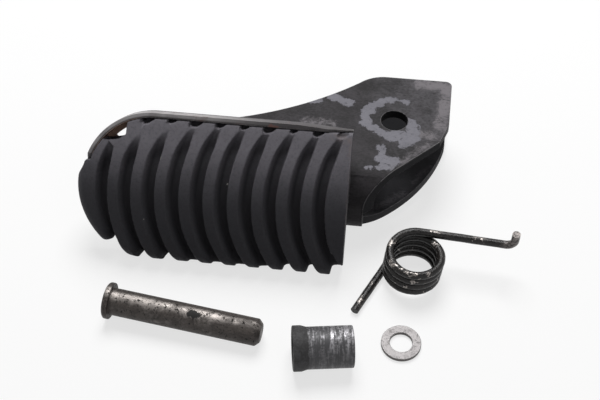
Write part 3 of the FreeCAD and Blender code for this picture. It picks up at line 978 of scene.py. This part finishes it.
def springPath():
    size = springSize
    count = round(size["turns"] * size["stepsPerTurn"])
    points = []
    for index in range(count + 1):
        turned = size["turns"] * index / count
        angle = -2 * math.pi * turned
        x = size["coil"] * math.cos(angle)
        y = size["coil"] * math.sin(angle)
        points.append(Vector((x, y, size["pitch"] * turned)))
    footRun = Vector((0, 1, 0))
    last = -2 * math.pi * size["turns"]
    armRun = Vector((math.sin(last), -math.cos(last), 0))
    steps = size["legSteps"]
    leg = [points[0] + footRun * size["leg"] * (steps - index) / steps for index in range(steps)]
    arm = [points[-1] + armRun * size["arm"] * (index + 1) / steps for index in range(steps)]
    up = Vector((0, 0, 1))
    bend = []
    for index in range(1, steps + 1):
        angle = math.pi / 2 * index / steps
        turned = armRun * math.sin(angle) + up * (1 - math.cos(angle))
        bend.append(arm[-1] + turned * size["hookBend"])
    path = leg + points + arm + bend + [bend[-1] + up * size["hookRise"]]
    turn = Matrix.Rotation(math.radians(size["turn"]), 4, "Z")
    path = [turn @ point for point in path]
    middle = size["pitch"] * size["turns"] / 2
    for point in path:
        point.x += size["lean"] * max(-1.0, min(1.0, point.z / middle - 1.0))
    low = min(point.z for point in path) - (wireSize["Wire Radius"] + wireSize["Knobs"]) / mm
    place = Vector((size["place"][0], size["place"][1], -low))
    return [(point + place) * mm for point in path]


def springTree(material):
    tree, path, size, end = newTree("wireShape", wireSize)
    ring = tree.nodes.new("GeometryNodeCurvePrimitiveCircle")
    ring.inputs["Resolution"].default_value = springSize["ringSides"]
    plug(tree, ring.inputs["Radius"], size["Wire Radius"])
    sweep = tree.nodes.new("GeometryNodeCurveToMesh")
    sweep.inputs["Fill Caps"].default_value = True
    tree.links.new(path, sweep.inputs["Curve"])
    tree.links.new(ring.outputs[0], sweep.inputs["Profile Curve"])
    lump = tree.nodes.new("ShaderNodeTexNoise")
    lump.inputs["Scale"].default_value = springSize["lumpScale"]
    lump.inputs["Detail"].default_value = springSize["lumpDetail"]
    normal = tree.nodes.new("GeometryNodeInputNormal")
    push = tree.nodes.new("ShaderNodeVectorMath")
    push.operation = "SCALE"
    tree.links.new(normal.outputs[0], push.inputs[0])
    knob = (field(tree, lump.outputs[0]) - springSize["lumpMiddle"]) * size["Knobs"]
    plug(tree, push.inputs["Scale"], knob * springSize["lumpGain"])
    moved = tree.nodes.new("GeometryNodeSetPosition")
    tree.links.new(sweep.outputs[0], moved.inputs["Geometry"])
    tree.links.new(push.outputs[0], moved.inputs["Offset"])
    closeTree(tree, moved.outputs[0], material, end)
    return tree


def makeSpring():
    material = springMaterial()
    data = bpy.data.curves.new("springPath", "CURVE")
    data.dimensions = "3D"
    path = springPath()
    line = data.splines.new("POLY")
    line.points.add(len(path) - 1)
    for point, place in zip(line.points, path):
        point.co = (*place, 1.0)
    mesh = runTree(bpy.data.objects.new("springSource", data), springTree(material), wireSize)
    mesh.shade_smooth()
    mesh.set_sharp_from_angle(angle=math.radians(springSize["sharp"]))
    addPiece("spring_wire", mesh, material, "torsion_spring")


def addMetal(name, node, look, material):
    addPiece(name, rounded(node, look["edgeWidth"]), material, node)


def makePieces():
    addMetal("arm_channel", "clevis_arm", armLook, armMaterial())
    addMetal("tray_pressing", "tread_tray", trayLook, trayMaterial())
    makePad()
    addMetal("pin_shank", "pivot_pin", pinLook, pinMaterial())
    addMetal("collar_bush", "pivot_collar", collarLook, collarMaterial())
    addMetal("plain_washer", "washer", washerLook, washerMaterial())
    makeSpring()


makePieces()
print("pieces made")


# Floor and light: white table, one broad soft light above and behind, fill all round.
studio = {  # metres and watts
    "floor": 6.0, "drop": 0.02 * mm, "shadow": 0.3, "bounce": 0.3, "pale": 1.0,
    "world": 0.14, "ceiling": 0.4, "ceilingFrom": (0.25, 0.85),
    "aim": (-0.03, -0.02, 0.0), "lampSize": 0.6,
    "key": 8.6, "keyPlace": (-0.08, 0.42, 0.85),
    "fill": 0.5, "fillPlace": (0.5, -0.6, 0.8),
}


def seenDirectly(tree):
    rays = tree.nodes.new("ShaderNodeLightPath")
    seen = field(tree, rays.outputs["Is Camera Ray"])
    seen = greater(seen, field(tree, rays.outputs["Is Glossy Ray"]))
    return greater(seen, field(tree, rays.outputs["Is Transmission Ray"]))


def makeFloor():
    made = bpy.data.materials.new("paleFloor")
    made.use_nodes = True
    tree = made.node_tree
    tree.nodes.clear()
    out = tree.nodes.new("ShaderNodeOutputMaterial")
    matte = tree.nodes.new("ShaderNodeBsdfDiffuse")
    seen = seenDirectly(tree)
    pale = ramp(seen, 0.0, 1.0, studio["bounce"], studio["pale"])
    tree.links.new(pale.out, matte.inputs["Color"])
    glow = tree.nodes.new("ShaderNodeEmission")
    glow.inputs["Strength"].default_value = 1.0
    mix = tree.nodes.new("ShaderNodeMixShader")
    plug(tree, mix.inputs[0], seen * (1.0 - studio["shadow"]))
    tree.links.new(matte.outputs[0], mix.inputs[1])
    tree.links.new(glow.outputs[0], mix.inputs[2])
    tree.links.new(mix.outputs[0], out.inputs[0])
    reach = studio["floor"] / 2
    level = -studio["drop"]
    mesh = bpy.data.meshes.new("floor")
    signs = ((-1, -1), (1, -1), (1, 1), (-1, 1))
    mesh.from_pydata([(x * reach, y * reach, level) for x, y in signs], [], [(0, 1, 2, 3)])
    mesh.materials.append(made)
    floor = bpy.data.objects.new("floor", mesh)
    bpy.context.collection.objects.link(floor)


def makeWorld():
    world = bpy.data.worlds.new("softRoom")
    world.use_nodes = True
    tree = world.node_tree
    shine = tree.nodes["Background"]
    shine.inputs["Color"].default_value = (1.0, 1.0, 1.0, 1.0)
    rays = tree.nodes.new("ShaderNodeTexCoord")
    height = splitVector(tree, rays.outputs["Object"])[2]
    start, end = studio["ceilingFrom"]
    wall = ramp(height, start, end, 1.0, studio["ceiling"])
    plug(tree, shine.inputs["Strength"], ramp(seenDirectly(tree), 0.0, 1.0, studio["world"], wall))
    bpy.context.scene.world = world


def makeLamp(name, place, power):
    data = bpy.data.lights.new(name, "AREA")
    data.shape = "DISK"
    data.size = studio["lampSize"]
    data.energy = power
    lamp = bpy.data.objects.new(name, data)
    lamp.location = place
    lamp.rotation_euler = (Vector(studio["aim"]) - Vector(place)).to_track_quat("-Z", "Y").to_euler()
    bpy.context.collection.objects.link(lamp)


makeFloor()
makeWorld()
makeLamp("softKey", studio["keyPlace"], studio["key"])
makeLamp("softFill", studio["fillPlace"], studio["fill"])
print("light set")
